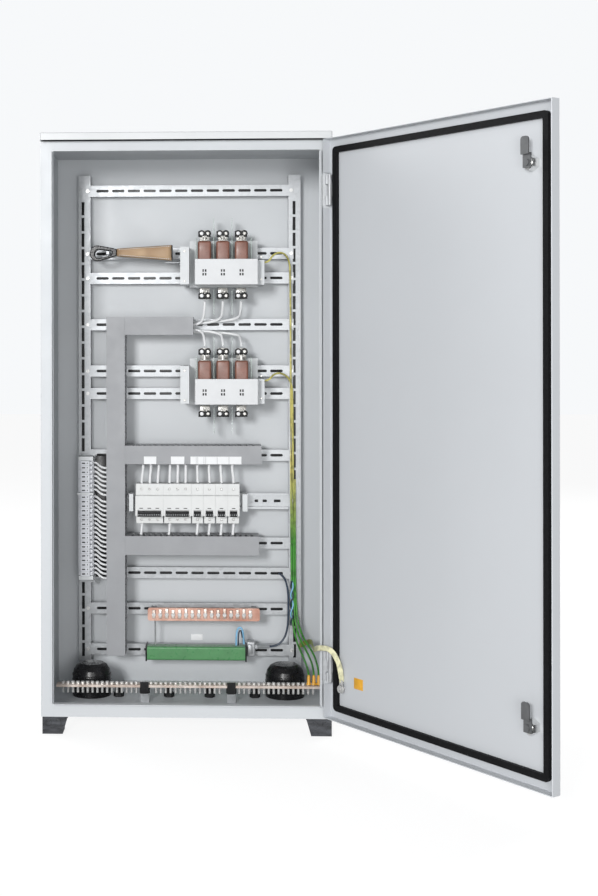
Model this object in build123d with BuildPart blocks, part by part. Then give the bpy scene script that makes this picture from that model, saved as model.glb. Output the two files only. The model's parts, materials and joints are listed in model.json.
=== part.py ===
from build123d import *
import os
from math import cos, pi, radians, sin, tan

os.makedirs("parts", exist_ok=True)

# Floor-standing distribution cabinet. Millimetres, +Z up, +X to the right as one faces it,
# the front towards -Y. The origin is the centre of the four foot bolt holes, on the floor.

# Shell
half_width = 300.0
half_depth = 150.0
foot_height = 36.0
body_top = 1221.5
sheet = 1.5
gap = 0.1
front = -half_depth
inner_x = half_width - sheet
cap_rise = 15.0
cap_overhang = 25.0
opening_x = 273.0
opening_low = 65.0
opening_high = 1200.0
rim_reach = 14.0
rim_x = opening_x + 2
floor_low, floor_high = 38.0, 40.0

# Door: drawn as if shut, on a plane turned about the hinge axis to where it stands open
hinge_x, hinge_y = 293.2, -165.3
door_open_angle = 125.5
door_half_width = 302.0
door_low, door_high = 42.5, 1221.2
door_outer = -9.0
door_inner = 11.0
gasket_width, gasket_height, gasket_offset = 12.0, 8.0, 278.4
hinge_heights = (146.5, 1117.0)
pin_radius = 2.0
knuckle_radius = 4.2
lock_x = -540.0
lock_heights = (147.5, 1117.0)
cam_names = ("lock_cam_bottom", "lock_cam_top")

# Inner frame
upright_front = 120.0
upright_outer, upright_inner = 249.0, 222.0
upright_low, upright_high = 60.0, 1181.0
slot_pitch = 35.4
rail_front = 118.4
rail_height = 25.0
rail_heights = (117.5, 209.5, 289.5, 357.0, 451.5, 553.5, 691.5, 742.0, 846.0, 950.0, 1005.0, 1146.0)
back_plane = rail_front - gap

# Wiring ducts: (low X, high X, low Z, high Z); the first is the vertical one
duct_front = 58.2
duct_wall = 1.8
ducts = (
    (-181.5, -140.6, 117.0, 862.5),
    (-140.4, 10.0, 823.0, 862.5),
    (-140.4, 159.6, 538.5, 579.0),
    (-140.4, 154.0, 338.5, 380.0),
)

# Fuse switches: two units, three poles each
unit_heights = {"lower": 718.0, "upper": 978.0}
pole_xs = (35.6, 75.5, 115.9)
lid_x = (14.5, 151.8)
lid_front = 10.0
lid_low, lid_high = -46.0, 9.0
link_half = 14.5

# DIN rails and what they carry
wing_front = 110.7
terminal_x = -229.0
terminal_pitch = 10.0
breaker_rail_z = 451.5
breaker_low, breaker_high = 406.4, 493.5
nose_low, nose_high = 424.5, 468.5
shoulder_front, nose_front = 74.0, 56.0
triple_xs = (-87.0, -25.3)
single_xs = (18.8, 45.3, 71.8, 98.3)
triple_width, single_width = 61.5, 26.3
toggle_y, toggle_z, toggle_radius = 61.0, 430.5, 4.0
toggle_droop = 25.0

# Bars and cable entries
neutral_x = (-91.6, 156.0)
neutral_z = (191.0, 219.0)
covered_x = (-93.5, 123.5)
covered_z = (103.0, 133.0)
earth_bar_x = (-279.0, 281.0)
earth_bar_y = (-62.0, -38.0)
earth_bar_z = (76.0, 81.0)
grommet_spots = ((-211.0, 23.0), (209.0, 23.0))
gland_spots = ((-151.0, 8.0), (-42.0, 8.0), (46.0, 8.0), (143.5, 8.0))

door_plane = Plane(
    origin=(hinge_x, hinge_y, 0),
    x_dir=(cos(radians(door_open_angle)), sin(radians(door_open_angle)), 0),
    z_dir=(0, 0, 1),
)


def slab(x, y, z, mode=Mode.ADD):
    """Box between the (low, high) pairs along X, Y and Z."""
    with Locations((sum(x) / 2, sum(y) / 2, sum(z) / 2)):
        Box(x[1] - x[0], y[1] - y[0], z[1] - z[0], mode=mode)


def both_sides(x, y, z, mode=Mode.ADD):
    """The same box at +X and at -X."""
    slab(x, y, z, mode)
    slab((-x[1], -x[0]), y, z, mode)


def corner_radii(points, most=45.0):
    """Largest tangent arcs that the runs of a route allow, one for each corner."""
    spots = [Vector(*p) for p in points]
    radii = []
    for before, corner, after in zip(spots, spots[1:], spots[2:]):
        run_in, run_out = corner - before, after - corner
        half_turn = radians(run_in.get_angle(run_out)) / 2
        radii.append(min(most, 0.45 * min(run_in.length, run_out.length) / tan(half_turn)))
    return radii


def cable(points, radius):
    """Round cable along straight runs joined by tangent arcs."""
    with BuildLine() as route:
        if len(points) > 2:
            FilletPolyline(*points, radius=corner_radii(points))
        else:
            Line(*points)
    with BuildSketch(Plane(origin=route.line @ 0, z_dir=route.line % 0)) as section:
        Circle(radius)
    sweep(sections=section.sketch, path=route.line)


# ---------------------------------------------------------------- shell

with BuildPart() as side_panels:
    both_sides((inner_x, half_width), (front, half_depth), (foot_height, body_top))
side_panels.part.label = "side_panels"
export_step(side_panels.part, "parts/side_panels.step")

with BuildPart() as back_panel:
    slab((-inner_x + gap, inner_x - gap), (half_depth - sheet, half_depth), (foot_height, body_top))
back_panel.part.label = "back_panel"
export_step(back_panel.part, "parts/back_panel.step")

with BuildPart() as top_panel:
    slab(
        (-inner_x + gap, inner_x - gap),
        (front, half_depth - sheet - gap),
        (body_top - sheet, body_top),
    )
top_panel.part.label = "top_panel"
export_step(top_panel.part, "parts/top_panel.step")

with BuildPart() as roof_cap:
    cap_low = body_top + gap
    slab((-299, 299), (front - cap_overhang, half_depth), (cap_low, cap_low + cap_rise))
    fillet(roof_cap.edges().filter_by(Axis.Z), radius=4)
    fillet(roof_cap.faces().sort_by(Axis.Z)[-1].edges(), radius=2)
    slab(
        (-299 + sheet, 299 - sheet),
        (front - cap_overhang + sheet, half_depth - sheet),
        (cap_low, cap_low + cap_rise - sheet),
        Mode.SUBTRACT,
    )
roof_cap.part.label = "roof_cap"
export_step(roof_cap.part, "parts/roof_cap.step")

grommet_hole, gland_hole = 36.1, 8.1
with BuildPart() as floor_plate:
    edge_y = half_depth - sheet - gap
    slab((-inner_x + gap, inner_x - gap), (-edge_y, edge_y), (floor_low, floor_high))
    with Locations(*[(x, y, floor_low) for x, y in grommet_spots]):
        Cylinder(grommet_hole, 8, mode=Mode.SUBTRACT)
    with Locations(*[(x, y, floor_low) for x, y in gland_spots]):
        Cylinder(gland_hole, 8, mode=Mode.SUBTRACT)
floor_plate.part.label = "floor_plate"
export_step(floor_plate.part, "parts/floor_plate.step")

# Four L-section strips round the opening: a flat flange and a rim that meets the door's gasket
with BuildPart() as front_frame:
    flange_y = (front, front + sheet)
    rim_y = (front - rim_reach, front)
    both_sides((opening_x, inner_x - gap), flange_y, (foot_height, body_top - sheet - gap))
    both_sides((rim_x, rim_x + sheet), rim_y, (opening_low, opening_high))
    across = (-opening_x + gap, opening_x - gap)
    slab(across, flange_y, (opening_high, body_top - sheet - gap))
    slab(across, rim_y, (opening_high, opening_high + sheet))
    slab(across, flange_y, (foot_height, opening_low))
    slab(across, rim_y, (opening_low - sheet, opening_low))
front_frame.part.label = "front_frame"
export_step(front_frame.part, "parts/front_frame.step")

# Pressed corner foot: two sloping cheeks, a sole with the floor bolt hole and a top flange
foot_x, foot_y, foot_plate = 297.5, -147.5, 3.0
foot_top_reach, foot_sole_reach = 52.5, 42.0
bolt_x, bolt_y, bolt_hole = 270.0, -120.0, 6.5
with BuildPart() as corner_feet:
    with BuildSketch(Plane.XZ.offset(-foot_y)):
        with BuildLine():
            Polyline(
                (foot_x, 0),
                (foot_x - foot_sole_reach, 0),
                (foot_x - foot_top_reach, foot_height),
                (foot_x, foot_height),
                close=True,
            )
        make_face()
    extrude(amount=-foot_plate)
    with BuildSketch(Plane.YZ.offset(foot_x)):
        with BuildLine():
            Polyline(
                (foot_y, 0),
                (foot_y + foot_sole_reach, 0),
                (foot_y + foot_top_reach, foot_height),
                (foot_y, foot_height),
                close=True,
            )
        make_face()
    extrude(amount=-foot_plate)
    slab((foot_x - foot_sole_reach, foot_x), (foot_y, foot_y + foot_sole_reach), (0, foot_plate))
    slab(
        (foot_x - foot_top_reach, foot_x),
        (foot_y, foot_y + foot_top_reach),
        (foot_height - foot_plate, foot_height),
    )
    with Locations((bolt_x, bolt_y, 0)):
        Cylinder(bolt_hole, 3 * foot_plate, mode=Mode.SUBTRACT)
    mirror(about=Plane.YZ)
    mirror(about=Plane.XZ)
corner_feet.part.label = "corner_feet"
export_step(corner_feet.part, "parts/corner_feet.step")

with BuildPart() as foot_bolts:
    with BuildSketch(Plane.XZ.offset(-foot_y)):
        with Locations((264, 24), (284, 24)):
            RegularPolygon(5.5, 6)
    extrude(amount=3.5)
    mirror(about=Plane.YZ)
    mirror(about=Plane.XZ)
foot_bolts.part.label = "foot_bolts"
export_step(foot_bolts.part, "parts/foot_bolts.step")

# ---------------------------------------------------------------- inner frame

# Slotted channels, open to the back wall
upright_parts = {}
for side, low, high, slot_x in (
    ("left", -upright_outer, -upright_inner, -239.0),
    ("right", upright_inner, upright_outer, 234.5),
):
    with BuildPart() as upright:
        back = half_depth - sheet - gap
        span = (upright_low, upright_high)
        slab((low, high), (upright_front, upright_front + sheet), span)
        slab((low, low + sheet), (upright_front, back), span)
        slab((high - sheet, high), (upright_front, back), span)
        with Locations(*[(slot_x, upright_front, 1107 - slot_pitch * i) for i in range(29)]):
            Box(6.4, 4, 30, mode=Mode.SUBTRACT)
    upright.part.label = "upright_" + side
    upright_parts[side] = upright.part
export_step(upright_parts["left"], "parts/upright_left.step")
export_step(upright_parts["right"], "parts/upright_right.step")

# Each rail laps in front of both uprights; its two folds run between them
rail_reach = 233.0
fold_x = upright_inner - 0.5
with BuildPart() as cross_rails:
    web_back = rail_front + sheet
    with BuildSketch(Plane.XZ.offset(-rail_front)):
        with Locations(*[(0, z) for z in rail_heights]):
            Rectangle(2 * rail_reach, rail_height)
            with GridLocations(slot_pitch, 0, 12, 1):
                SlotOverall(28, 6, mode=Mode.SUBTRACT)
    extrude(amount=-sheet)
    with BuildSketch(Plane.XZ.offset(-web_back)):
        for edge in (-1, 1):
            with Locations(*[(0, z + edge * (rail_height - sheet) / 2) for z in rail_heights]):
                Rectangle(2 * fold_x, sheet)
    extrude(amount=-12)
cross_rails.part.label = "cross_rails"
export_step(cross_rails.part, "parts/cross_rails.step")

behind_terminals = (270, 560)
with BuildPart() as rail_screws:
    head = 2.5
    screw_y = back_plane - head / 2
    spots = [(228.0, screw_y, z) for z in rail_heights]
    spots += [
        (-228.0, screw_y, z)
        for z in rail_heights
        if not behind_terminals[0] < z < behind_terminals[1]
    ]
    with Locations(*spots):
        Cylinder(4, head, rotation=(90, 0, 0))
rail_screws.part.label = "rail_screws"
export_step(rail_screws.part, "parts/rail_screws.step")

# ---------------------------------------------------------------- wiring ducts

finger_pitch, finger_slot = 12.5, 5.0
finger_back = 96.0
with BuildPart() as duct_troughs:
    for x0, x1, z0, z1 in ducts:
        slab((x0, x1), (duct_front, back_plane), (z0, z1))
        slab(
            (x0 + duct_wall, x1 - duct_wall),
            (duct_front, back_plane - duct_wall),
            (z0 + duct_wall, z1 - duct_wall),
            Mode.SUBTRACT,
        )
        slot_y, reach = (duct_front + finger_back) / 2, finger_back - duct_front
        middle_x, middle_z = (x0 + x1) / 2, (z0 + z1) / 2
        upright_run = z1 - z0 > x1 - x0
        count = int((max(x1 - x0, z1 - z0) - 14) / finger_pitch)
        steps = [(i - (count - 1) / 2) * finger_pitch for i in range(count)]
        spots = [(middle_x + step, slot_y, middle_z) for step in steps]
        size = (finger_slot, reach, 60)
        if upright_run:
            spots = [(middle_x, slot_y, middle_z + step) for step in steps]
            size = (60, reach, finger_slot)
        with Locations(*spots):
            Box(*size, mode=Mode.SUBTRACT)
duct_troughs.part.label = "duct_troughs"
export_step(duct_troughs.part, "parts/duct_troughs.step")

cover_thickness = 2.0
with BuildPart() as duct_covers:
    for x0, x1, z0, z1 in ducts:
        slab((x0, x1), (duct_front - gap - cover_thickness, duct_front - gap), (z0, z1))
duct_covers.part.label = "duct_covers"
export_step(duct_covers.part, "parts/duct_covers.step")

with BuildPart() as circuit_labels:
    label_back = duct_front - 2 * gap - cover_thickness
    for x in ((-98.7, -71.2), (-39.2, -9.6), (3.7, 115.7)):
        slab(x, (label_back - 2, label_back), (538.7, 555.5))
circuit_labels.part.label = "circuit_labels"
export_step(circuit_labels.part, "parts/circuit_labels.step")

# ---------------------------------------------------------------- fuse switches

with BuildPart() as fuse_bases:
    for zc in unit_heights.values():
        slab((2, 152), (83, back_plane), (zc - 50, zc + 53))
        slab((152 + gap, 166), (40, back_plane), (zc - 46, zc + 8))
        slab((-17.5, 2 - gap), (30, back_plane), (zc - 45, zc + 37))
fuse_bases.part.label = "fuse_bases"
export_step(fuse_bases.part, "parts/fuse_bases.step")

# Busbar tab, spring jaws and cable clamp at each end of each pole
with BuildPart() as fuse_contacts:
    for zc in unit_heights.values():
        for x in pole_xs:
            for tab, jaw, clamp in (
                ((zc + 51, zc + 79), (zc + 51, zc + 61), (zc + 63, zc + 79)),
                ((zc - 79, zc - 7), (zc - 17, zc - 7), (zc - 79, zc - 63)),
            ):
                slab((x - 11, x + 11), (79, 83 - gap), tab)
                slab((x - 4.6, x - 2.6), (40, 79), jaw)
                slab((x + 2.6, x + 4.6), (40, 79), jaw)
                slab((x - 10, x + 10), (63, 79), clamp)
                slab((x - 3.4, x + 3.4), (57, 63), (sum(clamp) / 2 - 3.4, sum(clamp) / 2 + 3.4))
fuse_contacts.part.label = "fuse_contacts"
export_step(fuse_contacts.part, "parts/fuse_contacts.step")

# Each lid carries its three links, and pulls straight out of the jaws with them
lid_parts = {}
link_parts = {}
for unit, zc in unit_heights.items():
    with BuildPart() as lid:
        face = (lid_front, lid_front + 2.5)
        tall = (zc + lid_low, zc + lid_high)
        slab(lid_x, face, tall)
        slab((lid_x[0], lid_x[0] + 2), (face[1], 80), tall)
        slab((lid_x[1] - 2, lid_x[1]), (face[1], 80), tall)
        slab(lid_x, (face[1], 40), (zc + lid_low, zc + lid_low + 2))
        fillet(lid.edges().filter_by(Axis.Z).group_by(Axis.Y)[0], radius=2)
        for x in pole_xs:
            for z in (zc - 24, zc - 16):
                with Locations((x, lid_front, z)):
                    with GridLocations(5.4, 0, 2, 1):
                        Box(3.4, 8, 5.6, mode=Mode.SUBTRACT)
    lid.part.label = "fuse_lid_" + unit
    lid_parts[unit] = lid.part

    with BuildPart() as links:
        for x in pole_xs:
            slab((x - link_half, x + link_half), (22, 67), (zc - 5, zc + 49))
        chamfer(links.edges().filter_by(Axis.Z), length=3)
        for x in pole_xs:
            slab((x - 2.5, x + 2.5), (36, 58), (zc - 17, zc + 61))
            slab((x - 6, x + 6), (17, 24), (zc + 44, zc + 46.5))
            slab((x - 6, x + 6), (17, 24), (zc - 2.5, zc))
    links.part.label = "fuse_links_" + unit
    link_parts[unit] = links.part
export_step(lid_parts["upper"], "parts/fuse_lid_upper.step")
export_step(lid_parts["lower"], "parts/fuse_lid_lower.step")
export_step(link_parts["upper"], "parts/fuse_links_upper.step")
export_step(link_parts["lower"], "parts/fuse_links_lower.step")

with BuildPart() as phase_barriers:
    for zc in unit_heights.values():
        for x in (17.5, 55.5, 95.6, 137):
            slab((x - 1, x + 1), (25, 83 - gap), (zc + 10, zc + 56))
        for x in (55.5, 95.6):
            slab((x - 0.75, x + 0.75), (64, 116), (zc + 57, zc + 102))
            slab((x - 0.75, x + 0.75), (64, 116), (zc - 112, zc - 55))
phase_barriers.part.label = "phase_barriers"
export_step(phase_barriers.part, "parts/phase_barriers.step")

# ---------------------------------------------------------------- fuse puller

puller_y = (50.0, 70.0)
with BuildPart() as puller_handle:
    with BuildSketch(Plane.XZ.offset(-puller_y[1])):
        with Locations((-200, 1002.5)):
            Circle(17.5)
        with Locations((-163, 1004.5)):
            Circle(8.6)
        make_hull()
        with BuildSketch(Plane.XZ.offset(-puller_y[1]), mode=Mode.SUBTRACT):
            with Locations((-197, 1001)):
                Circle(9.5)
            with Locations((-172, 1003)):
                Circle(4.5)
            make_hull()
        with Locations((-140, 1002.5)):
            Rectangle(36, 60, mode=Mode.SUBTRACT)
    extrude(amount=puller_y[1] - puller_y[0])
    fillet(puller_handle.faces().filter_by(Axis.Y).sort_by(Axis.Y)[0].edges(), radius=2)
puller_handle.part.label = "puller_handle"
export_step(puller_handle.part, "parts/puller_handle.step")

with BuildPart() as puller_sleeve:
    with BuildSketch(Plane.XZ.offset(-74)):
        with BuildLine():
            Polyline((-157.9, 995.8), (-37.2, 986), (-37.2, 1020.7), (-157.9, 1013.2), close=True)
        make_face()
    extrude(amount=28)
    fillet(puller_sleeve.edges().filter_by(Axis.Y), radius=3)
puller_sleeve.part.label = "puller_sleeve"
export_step(puller_sleeve.part, "parts/puller_sleeve.step")

# Peg through the handle's loop, and a rod under the sleeve
with BuildPart() as puller_holder:
    slab((-184, -170), (115.3, back_plane), (994, 1014))
    slab((-180, -174), (44, 115.3), (1000, 1006))
    with Locations((-34.8, 60, 982)):
        Cylinder(1.6, 34.4, rotation=(0, 90, 0))
puller_holder.part.label = "puller_holder"
export_step(puller_holder.part, "parts/puller_holder.step")

# ---------------------------------------------------------------- DIN rails and devices

with BuildPart() as din_rails:
    lengthwise = (268, 556)
    slab((terminal_x - 13.5, terminal_x + 13.5), (back_plane - 1, back_plane), lengthwise)
    for side in (-1, 1):
        wall = sorted((terminal_x + side * 12.5, terminal_x + side * 13.5))
        wing = sorted((terminal_x + side * 12.5, terminal_x + side * 17.5))
        slab(wall, (wing_front, back_plane), lengthwise)
        slab(wing, (wing_front, wing_front + 1), lengthwise)
    lengthwise = (-138.5, 221)
    slab(lengthwise, (back_plane - 1, back_plane), (breaker_rail_z - 13.5, breaker_rail_z + 13.5))
    for side in (-1, 1):
        wall = sorted((breaker_rail_z + side * 12.5, breaker_rail_z + side * 13.5))
        wing = sorted((breaker_rail_z + side * 12.5, breaker_rail_z + side * 17.5))
        slab(lengthwise, (wing_front, back_plane), wall)
        slab(lengthwise, (wing_front, wing_front + 1), wing)
    with Locations(*[(x, back_plane, breaker_rail_z) for x in (146, 171, 196)]):
        Box(15, 6, 6.2, mode=Mode.SUBTRACT)
din_rails.part.label = "din_rails"
export_step(din_rails.part, "parts/din_rails.step")

# Stepped terminal blocks: eighteen below the partition, seven above it
terminal_starts = [289 + terminal_pitch * i for i in range(18)]
terminal_starts += [474 + terminal_pitch * i for i in range(7)]
with BuildPart() as terminal_blocks:
    for z in terminal_starts:
        thick = (z + 0.1, z + terminal_pitch - 0.2)
        slab((-246, -212.6), (82, wing_front - gap), thick)
        slab((-240, -220), (70, 82), thick)
terminal_blocks.part.label = "terminal_blocks"
export_step(terminal_blocks.part, "parts/terminal_blocks.step")

with BuildPart() as end_clamps:
    ledge = wing_front - gap
    slab((-245, -213), (76, ledge), (280, 288.8))
    slab((-245, -213), (76, ledge), (544.4, 553))
    slab((-247, -211.5), (66, ledge), (469.4, 473.6))
    slab((-132.5, -123.5), (72, ledge), (433, 471))
    slab((118, 129), (72, ledge), (433, 471))
end_clamps.part.label = "end_clamps"
export_step(end_clamps.part, "parts/end_clamps.step")


def breaker(x, body_width, poles):
    """One breaker: stepped body, terminal screw holes and the pocket that the toggle turns in."""
    left, right = x - body_width / 2, x + body_width / 2
    outline = (
        (shoulder_front, breaker_low),
        (shoulder_front, nose_low),
        (nose_front, nose_low),
        (nose_front, nose_high),
        (shoulder_front, nose_high),
        (shoulder_front, breaker_high),
        (116, breaker_high),
        (116, breaker_rail_z + 18),
        (wing_front - gap, breaker_rail_z + 18),
        (wing_front - gap, breaker_rail_z - 18),
        (116, breaker_rail_z - 18),
        (116, breaker_low),
    )
    with BuildSketch(Plane.YZ.offset(left)) as profile:
        with BuildLine():
            Polyline(*outline, close=True)
        make_face()
    extrude(profile.sketch, amount=body_width)
    below_nose = (breaker_low, nose_low)
    slab((left, left + 1.2), (shoulder_front - 1, 116), below_nose, Mode.SUBTRACT)
    slab((right - 1.2, right), (shoulder_front - 1, 116), below_nose, Mode.SUBTRACT)
    pocket = 17.8 * poles - 1.2
    slab((x - pocket / 2, x + pocket / 2), (nose_front, 67), (425.5, 437.5), Mode.SUBTRACT)
    columns = [x + 17.8 * (i - (poles - 1) / 2) for i in range(poles)]
    with Locations(*[(c, shoulder_front + 3, z) for c in columns for z in (415, 482)]):
        Cylinder(3, 6, rotation=(90, 0, 0), mode=Mode.SUBTRACT)


with BuildPart() as breakers_triple:
    for x in triple_xs:
        breaker(x, triple_width, 3)
breakers_triple.part.label = "breakers_triple"
export_step(breakers_triple.part, "parts/breakers_triple.step")

with BuildPart() as breakers_single:
    for x in single_xs:
        breaker(x, single_width, 1)
breakers_single.part.label = "breakers_single"
export_step(breakers_single.part, "parts/breakers_single.step")

# Toggles, all switched off: a barrel on the turning axis and a lever that points down
toggle_spots = [(x, 17.8 * 3 - 2.4) for x in triple_xs] + [(x, 17.8 - 2.4) for x in single_xs]
lever_plane = Plane(
    origin=(0, toggle_y, toggle_z),
    x_dir=(1, 0, 0),
    z_dir=(0, -cos(radians(toggle_droop)), -sin(radians(toggle_droop))),
)
for number, (x, across_x) in enumerate(toggle_spots, start=1):
    with BuildPart(lever_plane) as toggle:
        with Locations((x, 0, 0)):
            Cylinder(toggle_radius, across_x, rotation=(0, 90, 0))
        with Locations((x, 0, 8)):
            Box(across_x, 3.2, 10)
        fillet(toggle.edges().filter_by(Axis.X).group_by(Axis.Y)[0], radius=1)
    toggle.part.label = f"toggle_{number}"
    export_step(toggle.part, f"parts/toggle_{number}.step")

# ---------------------------------------------------------------- bars

with BuildPart() as neutral_bar:
    slab(neutral_x, (72, 82), neutral_z)
    fillet(neutral_bar.edges().filter_by(Axis.Y), radius=5)
neutral_bar.part.label = "neutral_bar"
export_step(neutral_bar.part, "parts/neutral_bar.step")

with BuildPart() as covered_bar:
    slab((-88, 118), (84, 94), (112, 124))
covered_bar.part.label = "covered_bar"
export_step(covered_bar.part, "parts/covered_bar.step")

with BuildPart() as covered_bar_cover:
    slab(covered_x, (74, 102), covered_z)
    fillet(covered_bar_cover.edges().filter_by(Axis.X).group_by(Axis.Y)[0], radius=4)
    slab(covered_x, (75.6, 102), (covered_z[0] + 1.6, covered_z[1] - 1.6), Mode.SUBTRACT)
covered_bar_cover.part.label = "covered_bar_cover"
export_step(covered_bar_cover.part, "parts/covered_bar_cover.step")

# Black end plates with feet on the rail, and the clamp bracket with its bolt on the right
with BuildPart() as covered_bar_brackets:
    for x in ((-96.9, -93.6), (123.6, 127)):
        slab(x, (72, back_plane), (101, 135))
    slab((-93.6, -88.1), (84, 94), (112, 124))
    slab((118.1, 123.6), (84, 94), (112, 124))
    slab((127.2, 146), (92, back_plane), (108, 142))
    with Locations((162, 100, 130)):
        Cylinder(4, 31.8, rotation=(0, 90, 0))
covered_bar_brackets.part.label = "covered_bar_brackets"
export_step(covered_bar_brackets.part, "parts/covered_bar_brackets.step")

with BuildPart() as earth_bar:
    slab(earth_bar_x, earth_bar_y, earth_bar_z)
earth_bar.part.label = "earth_bar"
export_step(earth_bar.part, "parts/earth_bar.step")

standoff_xs = (-91.5, 92.5)
earth_bar_middle = sum(earth_bar_y) / 2
with BuildPart() as bar_standoffs:
    with BuildSketch(Plane.XY.offset(62)):
        with Locations(*[(x, earth_bar_middle) for x in standoff_xs]):
            RegularPolygon(11, 6)
    extrude(amount=earth_bar_z[0] - 62 - gap)
    for x in standoff_xs:
        slab((x - 9, x + 9), (earth_bar_y[0] - 3, earth_bar_y[0] - gap), (64, 88))
    with BuildSketch(Plane.XZ.offset(-back_plane)):
        with Locations((-80, 207), (143, 207)):
            RegularPolygon(10, 6)
    extrude(amount=back_plane - 82 - gap)
bar_standoffs.part.label = "bar_standoffs"
export_step(bar_standoffs.part, "parts/bar_standoffs.step")

screw_pitch = 10.4
with BuildPart() as bar_screws:
    row = [screw_pitch * (i - 25.5) for i in range(52)]
    with BuildSketch(Plane.XY.offset(earth_bar_z[1] + gap)):
        with Locations(*[(x, earth_bar_middle) for x in row]):
            RegularPolygon(3.8, 6)
    extrude(amount=5)
    clear_row = [x for x in row if min(abs(x - s) for s in standoff_xs) > 15]
    with BuildSketch(Plane.XY.offset(earth_bar_z[0] - gap)):
        with Locations(*[(x, earth_bar_middle) for x in clear_row]):
            RegularPolygon(2.6, 6)
    extrude(amount=-14)
    with BuildSketch(Plane.XZ.offset(-72 + gap)):
        with Locations(*[(-78 + 14.2 * i, 205) for i in range(16)]):
            RegularPolygon(4.6, 6)
    extrude(amount=4.5)
bar_screws.part.label = "bar_screws"
export_step(bar_screws.part, "parts/bar_screws.step")

with BuildPart() as bar_pedestals:
    for x in standoff_xs:
        slab((x - 9, x + 9), (earth_bar_middle - 9, earth_bar_middle + 9), (62 - gap - 2, 62 - gap))
        slab((x - 9, x + 9), (earth_bar_middle + 7, earth_bar_middle + 9), (floor_high, 62 - gap))
        slab((x - 9, x + 9), (earth_bar_middle + 7, earth_bar_middle + 24), (floor_high, floor_high + 2))
bar_pedestals.part.label = "bar_pedestals"
export_step(bar_pedestals.part, "parts/bar_pedestals.step")

# ---------------------------------------------------------------- cable entries

with BuildPart() as cable_grommets:
    for x, y in grommet_spots:
        with BuildSketch(Plane(origin=(x, y, 0), x_dir=(1, 0, 0), z_dir=(0, -1, 0))) as outline:
            with BuildLine():
                Polyline(
                    (0, 32),
                    (41, 32),
                    (41, floor_low - gap),
                    (36, floor_low - gap),
                    (36, floor_high + gap),
                    (42, floor_high + gap),
                    (43, 60),
                    (42, 84),
                    (39, 96),
                    (33, 105),
                    (26, 109),
                    (0, 110),
                    close=True,
                )
            make_face()
        revolve(outline.sketch, axis=Axis((x, y, 0), (0, 0, 1)))
cable_grommets.part.label = "cable_grommets"
export_step(cable_grommets.part, "parts/cable_grommets.step")

with BuildPart() as cable_glands:
    with BuildSketch(Plane.XY.offset(floor_high + gap)):
        with Locations(*gland_spots):
            RegularPolygon(11.5, 6)
    extrude(amount=9)
    with Locations(*[(x, y, 46) for x, y in gland_spots]):
        Cylinder(8, 30)
    with BuildSketch(Plane.XY.offset(floor_low - gap)):
        with Locations(*gland_spots):
            RegularPolygon(11, 6)
    extrude(amount=-5)
cable_glands.part.label = "cable_glands"
export_step(cable_glands.part, "parts/cable_glands.step")

# ---------------------------------------------------------------- wires

breaker_columns = [x + 17.8 * i for x in triple_xs for i in (-1, 0, 1)] + list(single_xs)
middle_duct, lower_duct = ducts[2], ducts[3]
with BuildPart() as wires_white:
    for x in breaker_columns:
        cable([(x, 80, breaker_high + gap), (x, 80, middle_duct[2] - gap)], 3.2)
    for x in breaker_columns[6:] + [breaker_columns[0], breaker_columns[3]]:
        cable([(x, 84, breaker_low - gap), (x, 84, lower_duct[3] + gap)], 2.6)
    for z in terminal_starts:
        start = [(-212.6 + gap, 95, z + 4.5), (-207, 95, z + 4.5)]
        cable(start + [(-198, 86, z - 3), (-189, 84, z - 7), (-181.5 - gap, 84, z - 7)], 2.4)
    duct_end = ducts[1][1] + gap
    for x in pole_xs:
        upper_end = [(x, 71, 884), (x, 71, unit_heights["upper"] - 79 - gap)]
        lower_end = [(x, 71, 806), (x, 71, unit_heights["lower"] + 79 + gap)]
        depth_y = 86 + (x - pole_xs[0]) / 5
        upper_z = 846 + (x - pole_xs[0]) / 16
        lower_z = 834 - (x - pole_xs[0]) / 16
        cable([(duct_end, depth_y, upper_z), (x - 6, depth_y, upper_z), *upper_end], 3)
        cable([(duct_end, depth_y, lower_z), (x - 6, depth_y, lower_z), *lower_end], 3)
wires_white.part.label = "wires_white"
export_step(wires_white.part, "parts/wires_white.step")

# Yellow-green wires: from the fuse switches and the right upright down to the earth bar
with BuildPart() as wires_earth:
    cable(
        [
            (166 + gap, 62, 982),
            (176, 62, 982),
            (186, 64, 1000),
            (206, 76, 1006),
            (222, 98, 992),
            (226.5, 112, 960),
            (226.5, 112, 210),
            (234, 96, 150),
            (250, 30, 120),
            (256, -30, 109),
            (256, -50, 100),
            (256, -50, 87),
        ],
        2,
    )
    cable(
        [
            (166 + gap, 62, 722),
            (176, 62, 722),
            (188, 66, 738),
            (208, 82, 738),
            (226, 103, 722),
            (231.2, 112, 688),
            (231.2, 112, 215),
            (240, 96, 155),
            (262, 30, 125),
            (267, -30, 112),
            (267, -50, 101),
            (267, -50, 87),
        ],
        2,
    )
    cable(
        [
            (235.4, 140, 500),
            (235.4, 112, 462),
            (235.4, 112, 220),
            (246, 96, 160),
            (272, 30, 130),
            (277, -30, 114),
            (277, -50, 102),
            (277, -50, 87),
        ],
        2,
    )
wires_earth.part.label = "wires_earth"
export_step(wires_earth.part, "parts/wires_earth.step")

with BuildPart() as wires_blue:
    cable(
        [(104, 90, 134), (104, 88, 158), (108, 87, 172), (117, 87, 174), (121, 88, 160), (121, 96, 136)],
        2.2,
    )
wires_blue.part.label = "wires_blue"
export_step(wires_blue.part, "parts/wires_blue.step")

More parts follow.
